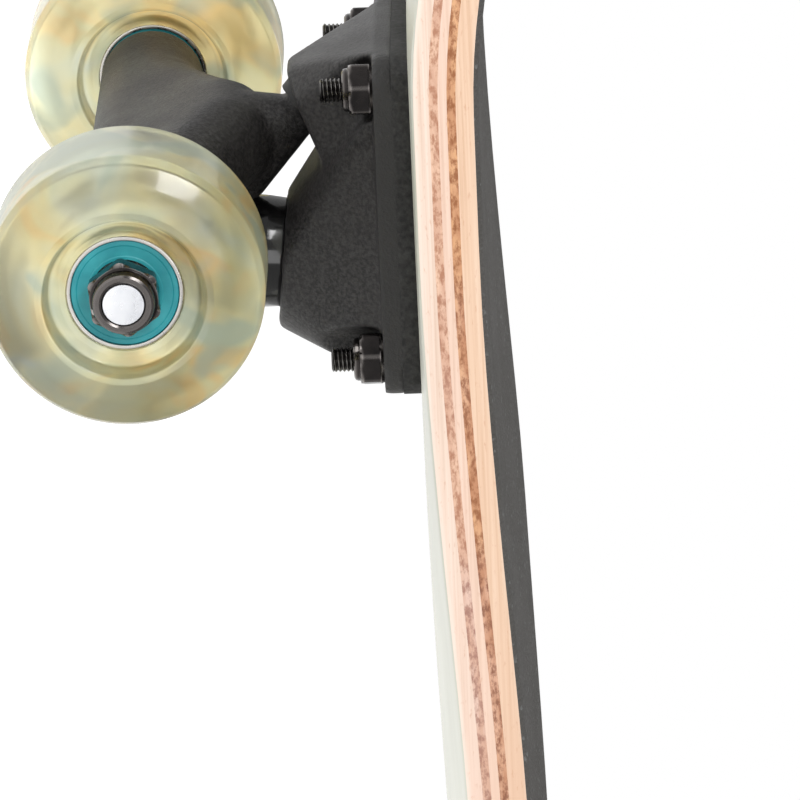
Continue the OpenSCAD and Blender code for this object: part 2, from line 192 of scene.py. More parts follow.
def cast_skin(node, voxel, fine, broad, softness):
    """A CAD node's shape as a casting, remeshed in voxels: "fine" steps ease its corners all over, and
    "broad" steps round its fillets where softness(point) says."""
    mesh = NODES[node].data.copy()
    shape = bmesh.new()
    shape.from_mesh(mesh)
    bmesh.ops.remove_doubles(shape, verts=shape.verts, dist=1e-6)
    shape.to_mesh(mesh)
    shape.free()
    mesh = modified(mesh, ("REMESH", {"mode": "VOXEL", "voxel_size": voxel * MM}),
                    ("SMOOTH", {"factor": 0.5, "iterations": fine}))
    return modified(mesh, ("SMOOTH", {"factor": 0.5, "iterations": broad, "vertex_group": "soft"}),
                    weights=softness)


# ---------------------------------------------------------------- materials
def colour(r, g, b):
    """An sRGB colour, 0 to 255, as linear light."""
    def linear(v):
        v /= 255
        return v / 12.92 if v <= 0.04045 else ((v + 0.055) / 1.055) ** 2.4
    return (linear(r), linear(g), linear(b), 1)


class Finish:
    """A material under construction: a Principled shader, and short names for the nodes that feed it."""

    def __init__(self, name, **inputs):
        self.material = bpy.data.materials.new(name)
        self.material.use_nodes = True
        self.tree = self.material.node_tree
        self.shader = self.tree.nodes["Principled BSDF"]
        self.place = self.add("ShaderNodeTexCoord").outputs["Object"]
        for key, value in inputs.items():
            self.shader.inputs[key.replace("_", " ")].default_value = value

    def add(self, kind, **settings):
        """A new node of a kind, with its settings."""
        node = self.tree.nodes.new(kind)
        for key, value in settings.items():
            setattr(node, key, value)
        return node

    def join(self, source, target):
        """A link from one node's output to another's input."""
        self.tree.links.new(source, target)

    def stretch(self, x, y, z):
        """Coordinates in metres scaled on each axis, so that a texture can run along a grain."""
        node = self.add("ShaderNodeMapping")
        node.inputs["Scale"].default_value = (x, y, z)
        self.join(self.place, node.inputs["Vector"])
        return node.outputs["Vector"]

    def noise(self, scale, detail, roughness=0.55, where=None, distortion=0):
        """Cloudy noise, with scale cells to a metre where nothing stretches it."""
        node = self.add("ShaderNodeTexNoise")
        node.inputs["Scale"].default_value = scale
        node.inputs["Detail"].default_value = detail
        node.inputs["Roughness"].default_value = roughness
        node.inputs["Distortion"].default_value = distortion
        self.join(where or self.place, node.inputs["Vector"])
        return node.outputs["Fac"]

    def ramp(self, value, *stops):
        """A colour for each value, from (position, colour) pairs."""
        node = self.add("ShaderNodeValToRGB")
        bar = node.color_ramp.elements
        while len(bar) < len(stops):
            bar.new(1)
        for element, (position, shade) in zip(bar, stops):
            element.position = position
            element.color = shade
        self.join(value, node.inputs["Fac"])
        return node.outputs["Color"]

    def spread(self, value, low, high, start=0.3, stop=0.7):
        """A value moved from the range start..stop to low..high, easing in and out."""
        node = self.add("ShaderNodeMapRange", interpolation_type="SMOOTHSTEP")
        node.inputs["From Min"].default_value = start
        node.inputs["From Max"].default_value = stop
        node.inputs["To Min"].default_value = low
        node.inputs["To Max"].default_value = high
        self.join(value, node.inputs["Value"])
        return node.outputs["Result"]

    def slope(self):
        """How far a surface faces up or down: 0 on a wall, 1 on a level face."""
        axes = self.add("ShaderNodeSeparateXYZ")
        self.join(self.add("ShaderNodeNewGeometry").outputs["Normal"], axes.inputs["Vector"])
        size = self.add("ShaderNodeMath", operation="ABSOLUTE")
        self.join(axes.outputs["Z"], size.inputs[0])
        return size.outputs["Value"]

    def mix(self, share, first, second):
        """Two colours mixed by a share; each of them is a socket or a colour."""
        node = self.add("ShaderNodeMix", data_type="RGBA")
        sockets = (node.inputs[0], node.inputs[6], node.inputs[7])
        for value, socket in zip((share, first, second), sockets):
            if isinstance(value, bpy.types.NodeSocket):
                self.join(value, socket)
            else:
                socket.default_value = value
        return node.outputs[2]

    def bump(self, height, strength, distance_mm):
        """Relief on the whole surface."""
        node = self.add("ShaderNodeBump")
        node.inputs["Strength"].default_value = strength
        node.inputs["Distance"].default_value = distance_mm * MM
        self.join(height, node.inputs["Height"])
        self.join(node.outputs["Normal"], self.shader.inputs["Normal"])

    def set(self, name, socket):
        """Feed one of the shader's inputs."""
        self.join(socket, self.shader.inputs[name])


def maple_pale(name, deep, middle, light, blush):
    """A veneer with its grain along the board: long faint streaks, pores where the edge cuts it, and
    paler colour on faces tilted towards level, as on the rounded rail: partly sanded wood, partly a
    painted highlight."""
    f = Finish(name, Specular_IOR_Level=0.3)
    streak = f.noise(1, 5, 0.62, f.stretch(16, 520, 1500), 0.3)
    pores = f.noise(1, 3, 0.6, f.stretch(420, 420, 1500))
    cloud = f.noise(14, 3)
    base = f.ramp(streak, (0.28, deep), (0.50, middle), (0.78, light))
    tinted = f.mix(f.spread(cloud, 0, 0.75, 0.40, 0.62), base, blush)
    edge = f.mix(f.spread(pores, 0, 0.5, 0.58, 0.72), tinted, colour(204, 156, 126))
    # Paler colour on faces tilted towards level, on the rounded rail: partly sanded wood, partly painted
    # highlight
    f.set("Base Color", f.mix(f.spread(f.slope(), 0, 0.75, 0.15, 0.75), edge, colour(240, 226, 214)))
    f.set("Roughness", f.spread(streak, 0.5, 0.72))
    f.bump(streak, 0.25, 0.15)
    return f.material


def maple_dark(name, pale, pale_pink, deep, deep_pink, rubbed):
    """A dyed veneer with its grain across the board, so its cut edge is rows of short dark dashes."""
    f = Finish(name, Specular_IOR_Level=0.3)
    dashes = f.noise(1, 5, 0.7, f.stretch(430, 60, 900))
    ragged = f.noise(1, 3, 0.6, f.stretch(95, 60, 420))
    cloud = f.noise(11, 3)
    base = f.mix(f.spread(cloud, 0, 1, 0.44, 0.58), pale, pale_pink)
    dark = f.mix(f.spread(cloud, 0, 1, 0.44, 0.58), deep, deep_pink)
    worn = f.mix(f.spread(ragged, 0, 0.8, 0.36, 0.62), base, rubbed)
    f.set("Base Color", f.mix(f.spread(dashes, 0, 0.95, 0.42, 0.62), worn, dark))
    f.set("Roughness", f.spread(ragged, 0.6, 0.8))
    f.bump(dashes, 0.5, 0.2)
    return f.material


def painted_underside():
    """Pale paint on the lowest veneer, worn a little, with the wood's grain showing faintly through."""
    f = Finish("painted_underside", Roughness=0.38, Coat_Weight=0.25, Coat_Roughness=0.2)
    grain = f.noise(1, 5, 0.6, f.stretch(14, 420, 900), 0.2)
    cloud = f.noise(16, 3)
    paint = f.ramp(cloud, (0.3, colour(185, 186, 174)), (0.55, colour(199, 200, 187)),
                   (0.75, colour(210, 209, 198)))
    f.set("Base Color", f.mix(f.spread(grain, 0, 0.18), paint, colour(170, 168, 146)))
    f.bump(grain, 0.12, 0.08)
    return f.material


def grip():
    """Black grit in resin: hard grains, some of them painted lighter: partly lighter grit, partly painted
    glints off their facets.
    """
    f = Finish("grip_tape", Roughness=0.92, Specular_IOR_Level=0.4)
    grains = f.add("ShaderNodeTexVoronoi", feature="F1")
    grains.inputs["Scale"].default_value = 1500
    f.join(f.place, grains.inputs["Vector"])
    tint = f.noise(60, 4)
    dark = f.ramp(tint, (0.3, colour(76, 74, 71)), (0.7, colour(86, 84, 82)))
    # Lighter grains: partly lighter grit, partly painted glints off the grains' facets
    grit_speck_and_glint = f.spread(grains.outputs["Color"], 0, 1, 0.80, 0.95)
    f.set("Base Color", f.mix(grit_speck_and_glint, dark, colour(108, 109, 108)))
    f.bump(grains.outputs["Distance"], 0.9, 0.35)
    return f.material


def powder_coat(name, shade, lift, dusty):
    """Satin black powder coat with its fine orange peel, dustier towards the deck."""
    f = Finish(name, Specular_IOR_Level=0.35)
    peel = f.noise(1300, 4, 0.65)
    patch = f.noise(45, 4, 0.6)
    axes = f.add("ShaderNodeSeparateXYZ")
    f.join(f.place, axes.inputs["Vector"])
    flange = f.spread(axes.outputs["Z"], 0, 1, (FLANGE_Z - 0.6) * MM, (FLANGE_Z + 0.2) * MM)
    coat = f.mix(f.spread(patch, 0, 0.4), f.ramp(peel, (0.40, shade), (0.62, lift)), lift)
    f.set("Base Color", f.mix(flange, coat, dusty))
    f.set("Roughness", f.spread(patch, 0.40, 0.54))
    f.bump(peel, 0.8, 0.26)
    return f.material


def rubber(name, shade, lift, roughness, grit):
    """Moulded black rubber with a fine, even texture."""
    f = Finish(name, Specular_IOR_Level=0.4)
    fine = f.noise(900, 4, 0.7)
    patch = f.noise(70, 3)
    f.set("Base Color", f.ramp(fine, (0.35, shade), (0.72, lift)))
    f.set("Roughness", f.spread(patch, roughness - 0.06, roughness + 0.06))
    f.bump(fine, grit, 0.12)
    return f.material


def glossy_urethane(name):
    """Solid black bushing urethane, wet-looking with faint flow marks."""
    f = Finish(name, Coat_Weight=0.6, Coat_Roughness=0.06)
    flow = f.noise(1, 3, 0.5, f.stretch(60, 60, 260), 0.4)
    f.set("Base Color", f.ramp(flow, (0.3, colour(16, 16, 17)), (0.75, colour(30, 29, 29))))
    f.set("Roughness", f.spread(flow, 0.12, 0.26))
    f.bump(flow, 0.1, 0.2)
    return f.material


def metal(name, shade, lift, roughness, brush=(500, 500, 500), strength=0.12, worn=None):
    """Bare or blackened steel with fine tool marks, and sharp edges turned to the worn colour: partly
    rubbed bare, partly a painted highlight.
    """
    f = Finish(name, Metallic=1.0)
    marks = f.noise(1, 4, 0.65, f.stretch(*brush))
    patch = f.noise(120, 3)
    coat = f.ramp(patch, (0.3, shade), (0.75, lift))
    if worn:
        # Sharp edges and corners take the worn colour: partly rubbed bare steel, partly painted highlight
        edges = f.add("ShaderNodeNewGeometry").outputs["Pointiness"]
        coat = f.mix(f.spread(edges, 0, 1, 0.515, 0.60), coat, worn)
    f.set("Base Color", coat)
    f.set("Roughness", f.spread(marks, roughness * 0.7, roughness * 1.35))
    f.bump(marks, strength, 0.05)
    return f.material


def shield_teal():
    """Teal rubber-coated bearing shield with a fine moulded grain."""
    f = Finish("shield_teal", Specular_IOR_Level=0.5)
    fine = f.noise(1400, 3)
    patch = f.noise(160, 3)
    f.set("Base Color", f.ramp(patch, (0.3, colour(30, 140, 150)), (0.7, colour(52, 164, 172))))
    f.set("Roughness", f.spread(fine, 0.32, 0.46))
    f.bump(fine, 0.15, 0.05)
    return f.material


def amber_urethane():
    """Cast translucent urethane: amber, with milky, amber and grey-green clouds in its colour: partly
    swirls poured into it, partly painted reflections and dark parts seen through it.
    """
    f = Finish("amber_urethane", IOR=1.45, Coat_Weight=0.45, Coat_Roughness=0.09)
    swirl = f.noise(56, 2, 0.5, distortion=1.0)
    cloud = f.noise(60, 2, 0.5, distortion=0.6)
    # Milky, amber and grey-green clouds: partly poured swirls, partly painted reflections, highlights and
    # refracted dark parts
    tint = f.ramp(swirl, (0.30, colour(221, 228, 213)), (0.42, colour(232, 231, 194)),
                  (0.55, colour(239, 227, 172)), (0.64, colour(248, 209, 136)))
    # Grey-green clouds: partly poured swirl, partly painted reflection of dark parts seen through the
    # urethane
    f.set("Base Color", f.mix(f.spread(cloud, 0, 0.8, 0.50, 0.64), tint, colour(170, 186, 170)))
    f.set("Transmission Weight", f.spread(cloud, 0.87, 0.62, 0.40, 0.66))
    f.set("Roughness", f.spread(cloud, 0.285, 0.36, 0.35, 0.7))
    return f.material


FINISH = {
    "maple_pale": maple_pale("maple_white", colour(212, 184, 164), colour(228, 204, 187),
                             colour(238, 220, 207), colour(232, 201, 184)),
    "maple_dark": maple_dark("maple_rose", colour(226, 188, 162), colour(222, 190, 174),
                             colour(172, 122, 96), colour(162, 120, 106), colour(203, 159, 136)),
    "paint_pale": painted_underside(),
    "grip_black": grip(),
    "riser_black": rubber("riser_rubber", colour(36, 36, 36), colour(68, 67, 67), 0.72, 0.6),
    "cast_black": powder_coat("powder_coat", colour(13, 12, 12), colour(58, 56, 56),
                              colour(54, 53, 53)),
    "cup_rubber": rubber("cup_rubber", colour(24, 24, 24), colour(38, 38, 38), 0.5, 0.2),
    "bushing_black": glossy_urethane("bushing_urethane"),
    "steel_zinc": metal("zinc_steel", colour(168, 168, 172), colour(200, 200, 203), 0.3),
    "steel_bright": metal("bright_steel", colour(214, 217, 224), colour(248, 249, 252), 0.3,
                          (420, 420, 420), 0.5),
    "race_steel": metal("race_steel", colour(200, 197, 193), colour(222, 219, 214), 0.3,
                        (300, 2500, 300)),
    # Bolts and nuts: their sharp edges are lighter, partly rubbed bare steel, partly painted highlight
    "bolt_black": metal("bolt_oxide", colour(44, 43, 43), colour(76, 73, 72), 0.32,
                        worn=colour(150, 147, 145)),
    "nut_black": metal("nut_oxide", colour(36, 35, 35), colour(62, 58, 57), 0.22, strength=0.08,
                       worn=colour(168, 162, 159)),
    "shield_teal": shield_teal(),
    "urethane_amber": amber_urethane(),
}
# The upper veneers, by their place in the stack: warmer woods than the lower ones
MAPLE_MIDDLE = maple_pale("maple_middle", colour(211, 177, 154), colour(227, 197, 178),
                          colour(238, 214, 198), colour(228, 195, 174))
MAPLE_PEACH = maple_pale("maple_peach", colour(208, 170, 140), colour(224, 191, 164),
                         colour(234, 208, 186), colour(222, 186, 160))
MAPLE_TAN = maple_dark("maple_tan", colour(216, 166, 124), colour(211, 166, 140),
                       colour(146, 92, 58), colour(136, 90, 70), colour(180, 126, 94))
VENEER_FINISH = {4: MAPLE_MIDDLE, 5: MAPLE_TAN, 6: MAPLE_PEACH, 7: MAPLE_PEACH}
SLOT_OF = {part["node"]: part["material_slot"] for part in frame["record"]["subparts"]}
for node_name, node_object in NODES.items():
    node_object.data.materials.clear()
    node_object.data.materials.append(FINISH[SLOT_OF[node_name]])


def make(name, mesh, node, body, sharp):
    """A finished piece that stands for a CAD node, in that node's own material. It is smooth except at
    edges sharper than the angle given, and rides its body, or stays unparented when none is given."""
    slot = SLOT_OF[node]
    mesh.shade_smooth()
    mesh.set_sharp_from_angle(angle=math.radians(sharp))
    obj = bpy.data.objects.new(name, mesh)
    bpy.context.scene.collection.objects.link(obj)
    mesh.materials.clear()
    mesh.materials.append(FINISH[slot])
    if body:
        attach(obj, body)
    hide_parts(node)
    return obj


# ---------------------------------------------------------------- deck
deck_low, deck_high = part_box("deck_ply_1")
DECK_L = (deck_high.x - deck_low.x) / MM
DECK_W = (deck_high.y - deck_low.y) / MM
DECK_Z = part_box("front_riser_pad")[1].z / MM
PLIES = 7
GRIP_T = 0.9
PLY_T = (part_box("front_deck_bolts")[1].z / MM - GRIP_T - DECK_Z) / PLIES
TRUCK_X = centre_mm("front_axle").x
# Pitch of the four bolts along and across the board, and how far inboard of the axle their middle is
BOLT_DX, BOLT_DY, BOLT_MID = 53.98, 41.28, 8.1
# Radius of the bolt holes, and the mouth radius and depth of the seats for the bolt heads
HOLE_R, HEAD_HOLE_R, HEAD_HOLE_DEPTH = 2.75, 4.95, 2.8
# Where the upturned ends begin to bend, and the radius and angle of the bend
KICK_X, KICK_R, KICK_ANGLE = 247, 150, math.radians(19)
ARC_L = KICK_R * KICK_ANGLE
ARC_X = KICK_X + KICK_R * math.sin(KICK_ANGLE)
STRAIGHT_L = (DECK_L / 2 - ARC_X) / math.cos(KICK_ANGLE)
# Where the plan begins to narrow, how square its ends are, and how nearly they close at the tip
TAPER_X, TAPER_POWER, BLUNT_END = 262, 2.3, 0.9993
# How far the rails rise between the trucks and at the ends, the places between which that changes, and
# the share of each half that stays flat across the board
CONCAVE, END_CONCAVE, CONCAVE_FROM, CONCAVE_TO, FLAT_SHARE = 5.2, 1.2, 110, 222, 0.3
# How far the middle is bowed up, and where the bow ends
CAMBER = 3.8
CAMBER_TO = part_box("front_riser_pad")[0].x / MM - 0.5
# Radius of the sanded rail, and how many bands of faces round it in the outer veneers and the grip
EDGE_R, RAIL_LEVELS, GRIP_LEVELS = 1.7, 4, 3
# Rows of points in half the length (middle, bend, straight end) and columns in half the width
FLAT_ROWS, ARC_ROWS, TIP_ROWS, HALF_COLUMNS = 20, 8, 26, 18
COLUMNS = [math.sin(math.pi / 2 * (i / HALF_COLUMNS - 1)) for i in range(2 * HALF_COLUMNS + 1)]
# The lowest veneer is painted where its normal's height is below this
PAINTED_BELOW = -0.93


def bend(s):
    """The slope of the board at distance s along it, in radians."""
    return KICK_ANGLE * min(1, max(0, (abs(s) - KICK_X) / ARC_L))


def path(s):
    """Length along the board and height of the pressed middle line at distance s along it."""
    a = abs(s)
    if a < CAMBER_TO:
        return a, CAMBER * (1 + math.cos(math.pi * a / CAMBER_TO)) / 2
    if a < KICK_X:
        return a, 0
    if a < KICK_X + ARC_L:
        return KICK_X + KICK_R * math.sin(bend(s)), KICK_R * (1 - math.cos(bend(s)))
    rest = a - KICK_X - ARC_L
    height = KICK_R * (1 - math.cos(KICK_ANGLE)) + rest * math.sin(KICK_ANGLE)
    return ARC_X + rest * math.cos(KICK_ANGLE), height


def half_width(x):
    """Half the board's width at length x."""
    u = BLUNT_END * max(0, (x - TAPER_X) / (DECK_L / 2 - TAPER_X))
    return DECK_W / 2 * (1 - u ** TAPER_POWER) ** (1 / TAPER_POWER)


def rail_rise(x):
    """How far the rail stands above the middle at length x."""
    u = min(1, max(0, (x - CONCAVE_FROM) / (CONCAVE_TO - CONCAVE_FROM)))
    inner = (CONCAVE - END_CONCAVE) * (1 - u * u * (3 - 2 * u))
    return inner + END_CONCAVE * (2 * half_width(x) / DECK_W) ** 2


def edge_inset(h):
    """How far the sanded rail is rounded in at height h of the stack."""
    top = PLIES * PLY_T + GRIP_T
    depth = max(0, EDGE_R - h, h - (top - EDGE_R))
    return EDGE_R - math.sqrt(max(0, EDGE_R ** 2 - depth ** 2))


def deck_point(s, v, h):
    """A point of the stack: distance s along it, share v of the half width across, and height h in it."""
    x, z = path(s)
    inset = edge_inset(h)
    shrink_x = (DECK_L / 2 - inset) / (DECK_L / 2)
    bowl = max(0, (abs(v) - FLAT_SHARE) / (1 - FLAT_SHARE)) ** 2
    width = max(0.2, half_width(x) - inset)
    along = (x - h * math.sin(bend(s))) * (shrink_x if x > TAPER_X else 1)
    return (math.copysign(along, s), v * width, DECK_Z + z + h * math.cos(bend(s)) + rail_rise(x) * bowl)


def stations():
    """Distances along the board: even over the middle, and closer together towards the rounded end."""
    half = [KICK_X * i / FLAT_ROWS for i in range(FLAT_ROWS)]
    half += [KICK_X + ARC_L * i / ARC_ROWS for i in range(ARC_ROWS + 1)]
    half += [KICK_X + ARC_L + STRAIGHT_L * math.sin(math.pi / 2 * i / TIP_ROWS)
             for i in range(1, TIP_ROWS + 1)]
    return [-s for s in reversed(half[1:])] + half


def sheet(name, low, high, levels):
    """One pressed layer between two heights of the stack, with the rail rounded over several levels."""
    rows, cols = stations(), COLUMNS
    across, down = len(cols), len(rows)
    verts, faces = [], []
    for h in (low, high):
        verts += [deck_point(s, v, h) for s in rows for v in cols]

    def at(layer, i, j):
        """Index of the point in row i and column j of the lower (0) or upper (1) face."""
        return layer * across * down + i * across + j
    for i in range(down - 1):
        for j in range(across - 1):
            faces.append((at(0, i, j), at(0, i + 1, j), at(0, i + 1, j + 1), at(0, i, j + 1)))
            faces.append((at(1, i, j), at(1, i, j + 1), at(1, i + 1, j + 1), at(1, i + 1, j)))
    rim = [(i, 0) for i in range(down)] + [(down - 1, j) for j in range(1, across)]
    rim += [(i, across - 1) for i in range(down - 2, -1, -1)]
    rim += [(0, j) for j in range(across - 2, 0, -1)]
    belts = [[at(0, i, j) for i, j in rim]]
    for k in range(1, levels):
        h = low + (high - low) * k / levels
        start = len(verts)
        verts += [deck_point(rows[i], cols[j], h) for i, j in rim]
        belts.append(list(range(start, start + len(rim))))
    belts.append([at(1, i, j) for i, j in rim])
    for lower, upper in zip(belts, belts[1:]):
        for k in range(len(rim)):
            n = (k + 1) % len(rim)
            faces.append((lower[k], lower[n], upper[n], upper[k]))
    return mesh_from(name, verts, faces)


def bolt_places():
    """Where the eight deck bolts stand."""
    return [(sign * (TRUCK_X - BOLT_MID) + dx * BOLT_DX / 2, dy * BOLT_DY / 2)
            for sign in ENDS.values() for dx in (-1, 1) for dy in (-1, 1)]


def bolt_hole(x, y):
    """The space of a bolt and its countersunk head through the deck."""
    top = DECK_Z + PLIES * PLY_T + GRIP_T
    profile = [(0, DECK_Z - 1), (HOLE_R, DECK_Z - 1), (HOLE_R, top - HEAD_HOLE_DEPTH), (HEAD_HOLE_R, top),
               (HEAD_HOLE_R, top + 1), (0, top + 1)]
    return turned("hole", profile, Matrix.Translation((x, y, 0)), 32, closed=False)


def drilled_sheet(name, low, high, levels):
    """A pressed layer with the bolt holes through it."""
    return cut_away(sheet(name, low, high, levels), [bolt_hole(*place) for place in bolt_places()])


def bare_edge(piece):
    """The lowest veneer is painted on its lower face only; its cut edge is bare wood."""
    piece.data.materials.append(FINISH["maple_pale"])
    for face in piece.data.polygons:
        if face.normal.z > PAINTED_BELOW:
            face.material_index = 1


def build_deck():
    """The seven veneers, each in its own tint, and the grip tape."""
    for i in range(1, PLIES + 1):
        node = f"deck_ply_{i}"
        levels = RAIL_LEVELS if i in (1, 2, PLIES - 1, PLIES) else 1
        mesh = drilled_sheet(node, (i - 1) * PLY_T, i * PLY_T, levels)
        piece = make(f"veneer_{i}", mesh, node, "root", 30)
        if i == 1:
            bare_edge(piece)
        if i in VENEER_FINISH:
            piece.data.materials[0] = VENEER_FINISH[i]
    top = PLIES * PLY_T
    mesh = drilled_sheet("grip", top, top + GRIP_T, GRIP_LEVELS)
    make("grip_sheet", mesh, "grip_tape", "root", 40)


# ---------------------------------------------------------------- trucks
# The kingpin's lean from upright, and the middle of the bushings' seat on it in the truck's own frame
KINGPIN_LEAN = math.radians(5.3)
SEAT = Vector((-18.9, 0, 52.4))
KINGPIN_DOWN = Vector((math.sin(KINGPIN_LEAN), 0, -math.cos(KINGPIN_LEAN)))
# Castings: voxel size, easing steps all over, and fillet steps of the baseplate and of the hanger
CAST_VOXEL, CAST_EASE, PLATE_FILLET, HANGER_FILLET = 0.6, 4, 22, 14
# Fillets start this far below the flange's lower face and grow to their full size over this height
FILLET_START, FILLET_GROWTH = 0.4, 2.5
# Half the hanger's length, and where its fillets end along it and over what length they fade
HANGER_HALF, HANGER_FILLET_END, HANGER_FILLET_FADE = 63.5, 57, 6
# Riser pad: its corners' radius, and how far it sinks into the flange so that no gap shows between them
RISER_CORNER, RISER_SINK = 6.2, 0.6
# Deck bolts: radius, height of their tips, and pitch and depth of the thread
BOLT_R, BOLT_TIP_Z, BOLT_PITCH, BOLT_THREAD = 2.4, 61.8, 0.8, 0.42
# Cross slot in each bolt's head: length, width and depth
CROSS_L, CROSS_W, CROSS_DEPTH = 5.0, 1.0, 1.6
# Deck nuts: height, width across flats, height of the collar, and how each stands turned
NUT_H, NUT_AF, NUT_COLLAR, NUT_TURNS = 5.9, 9.5, 1.3, (0.30, 0.62, 0.36, 0.95)
# Share of a nut's corners that their blunting leaves
NUT_CORNER = 0.975


def truck_place(end):
    """A truck's own frame: the axle over the origin and +X towards the near end of the deck."""
    turn = Matrix.Rotation(0 if end == "front" else math.pi, 4, "Z")
    return Matrix.Translation((ENDS[end] * TRUCK_X, 0, 0)) @ turn


def on_kingpin(end, t):
    """A place with Z running down the kingpin, at distance t from the bushing seat."""
    turn = Matrix.Rotation(math.pi - KINGPIN_LEAN, 4, "Y")
    return truck_place(end) @ Matrix.Translation(SEAT + KINGPIN_DOWN * t) @ turn


def build_castings(end, hanger_body):
    """The baseplate and the hanger, eased all over as castings are."""
    def below_flange(point):
        """Full softness away from the flange and none on it."""
        return min(1, max(0, (FLANGE_Z - FILLET_START - point.z / MM) / FILLET_GROWTH))

    def away_from_wheels(point):
        """Full softness between the hanger's two machined end faces."""
        return min(1, max(0, (HANGER_FILLET_END - abs(point.y) / MM) / HANGER_FILLET_FADE))
    plate = cast_skin(f"{end}_baseplate", CAST_VOXEL, CAST_EASE, PLATE_FILLET, below_flange)
    make(f"{end}_baseplate_casting", plate, f"{end}_baseplate", "root", 60)
    arm = cast_skin(f"{end}_hanger", CAST_VOXEL, CAST_EASE, HANGER_FILLET, away_from_wheels)
    make(f"{end}_hanger_casting", arm, f"{end}_hanger", hanger_body, 60)


def build_riser(end):
    """The riser pad, with round corners and its top edge eased."""
    low, high = (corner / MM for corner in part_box(f"{end}_riser_pad"))
    middle = (low + high) / 2
    half = (high - low) / 2
    verts, faces = [], []
    corners = ((-1, -1), (1, -1), (1, 1), (-1, 1))
    outline = rounded([(x * half.x, y * half.y, RISER_CORNER) for x, y in corners], 8)
    thick = 2 * half.z
    levels = [(1, -RISER_SINK), (0, -RISER_SINK), (0, thick - 0.15), (0.15, thick), (1, thick)]
    for inset, h in levels:
        scale_x, scale_y = 1 - inset / half.x, 1 - inset / half.y
        verts += [(middle.x + x * scale_x, middle.y + y * scale_y, low.z + h) for x, y in outline]
    count = len(outline)
    for k in range(len(levels) - 1):
        for i in range(count):
            n = (i + 1) % count
            faces.append((k * count + i, k * count + n, (k + 1) * count + n, (k + 1) * count + i))
    faces.append(tuple(range(count)))
    faces.append(tuple((len(levels) - 1) * count + i for i in range(count)))
    make(f"{end}_riser_sheet", mesh_from("riser", verts, faces), f"{end}_riser_pad", "root", 50)


def nut_profile(af, height, bore, collar_h, collar_r):
    """A lock nut, from its seat (0) up: chamfered hexagon, then the rolled collar that holds the ring."""
    corner = af / 2 / math.cos(math.pi / 6)
    flat = af / 2
    hex_h = height - collar_h
    return [(bore, 0), (flat * 0.98, 0), (corner - 0.1, 0.55), (corner, 0.9), (corner, hex_h - 0.9),
            (corner - 0.12, hex_h - 0.5), (flat + 0.05, hex_h), (flat - 0.35, hex_h + 0.06),
            (collar_r + 0.1, hex_h + 0.12), (collar_r, hex_h + 0.3), (collar_r, height - 0.7),
            (collar_r - 0.18, height - 0.25), (collar_r - 0.6, height), (bore + 0.5, height),
            (bore + 0.12, height - 0.25), (bore, height - 0.5)]


def lock_nut(af, height, bore, place, collar_h, collar_r):
    """A lock nut that stands on its place."""
    profile = nut_profile(af, height, bore, collar_h, collar_r)
    return turned("nut", profile, place, 96, limit=hexagon(af, NUT_CORNER))


def bolt_profile(tip, top):
    """A deck bolt from its chamfered tip to its countersunk head, with rows close enough for a thread."""
    row = 0.1
    rows = [(BOLT_R, tip + 0.35 + row * k) for k in range(int((FLANGE_Z - tip - 1) / row))]
    head = [(BOLT_R, top - 2.9), (4.6, top - 0.35), (4.75, top - 0.15), (4.7, top), (0, top)]
    start = [(0, tip), (BOLT_R - 0.45, tip), (BOLT_R - 0.05, tip + 0.34)]
    return start + rows + [(BOLT_R, FLANGE_Z)] + head


def box_mesh(name, size, place):
    """A plain block, as a cutter."""
    shape = bmesh.new()
    bmesh.ops.create_cube(shape, size=1, matrix=place @ Matrix.Diagonal((*size, 1)))
    mesh = bpy.data.meshes.new(name)
    shape.to_mesh(mesh)
    shape.free()
    mesh.transform(Matrix.Scale(MM, 4))
    return mesh


def build_deck_hardware(end):
    """A truck's four bolts, with cross slots in their heads, and their lock nuts."""
    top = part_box(f"{end}_deck_bolts")[1].z / MM
    bolts, nuts = [], []
    spots = [spot for spot in bolt_places() if spot[0] * ENDS[end] > 0]
    thread = (BOLT_TIP_Z + 0.4, FLANGE_Z - 1, BOLT_PITCH, BOLT_THREAD)
    for k, (x, y) in enumerate(spots):
        place = Matrix.Translation((x, y, 0)) @ Matrix.Rotation(0.7 * k, 4, "Z")
        bolt = turned("bolt", bolt_profile(BOLT_TIP_Z, top), place, 32, closed=False, thread=thread)
        for size in ((CROSS_L, CROSS_W, 2 * CROSS_DEPTH), (CROSS_W, CROSS_L, 2 * CROSS_DEPTH)):
            bolt = cut_away(bolt, [box_mesh("slot", size, place @ Matrix.Translation((0, 0, top)))])
        bolts.append(bolt)
        seat = Matrix.Translation((x, y, FLANGE_Z)) @ Matrix.Rotation(math.pi, 4, "X")
        seat = seat @ Matrix.Rotation(NUT_TURNS[k], 4, "Z")
        nuts.append(lock_nut(NUT_AF, NUT_H, BOLT_R + 0.03, seat, NUT_COLLAR, NUT_AF / 2 - 0.55))
    make(f"{end}_deck_screws", joined("screws", bolts), f"{end}_deck_bolts", "root", 40)
    make(f"{end}_deck_lock_nuts", joined("nuts", nuts), f"{end}_deck_nuts", "root", 30)


# Distances down the kingpin from the bushings' seat: the two faces of the hanger's ring
RING_TOP, RING_LOW = 13.4, 22.4
# How deep each bushing sits in the ring, the road-side bushing's height, and where that bushing ends
SEAT_H, ROAD_H = 1.0, 12.0
ROAD_LOW = RING_LOW - SEAT_H + ROAD_H
# Kingpin: radius, pitch and depth of its thread, and its head's radius; the bushings' bore
KINGPIN_R, KINGPIN_PITCH, KINGPIN_THREAD, KINGPIN_HEAD_R, BUSHING_BORE = 4.76, 1.06, 0.55, 7.4, 4.95
# The cup washer's thickness
CUP_T = 1.4
# The kingpin nut's height, width across flats, collar height and collar radius
KINGPIN_NUT_H, KINGPIN_NUT_AF, KINGPIN_COLLAR, KINGPIN_COLLAR_R = 6.8, 14.3, 1.8, 6.4


def blend_on_kingpin(piece):
    """The bushing's place baked into its mesh, where it sits on the kingpin; it follows no body."""
    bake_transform(piece)


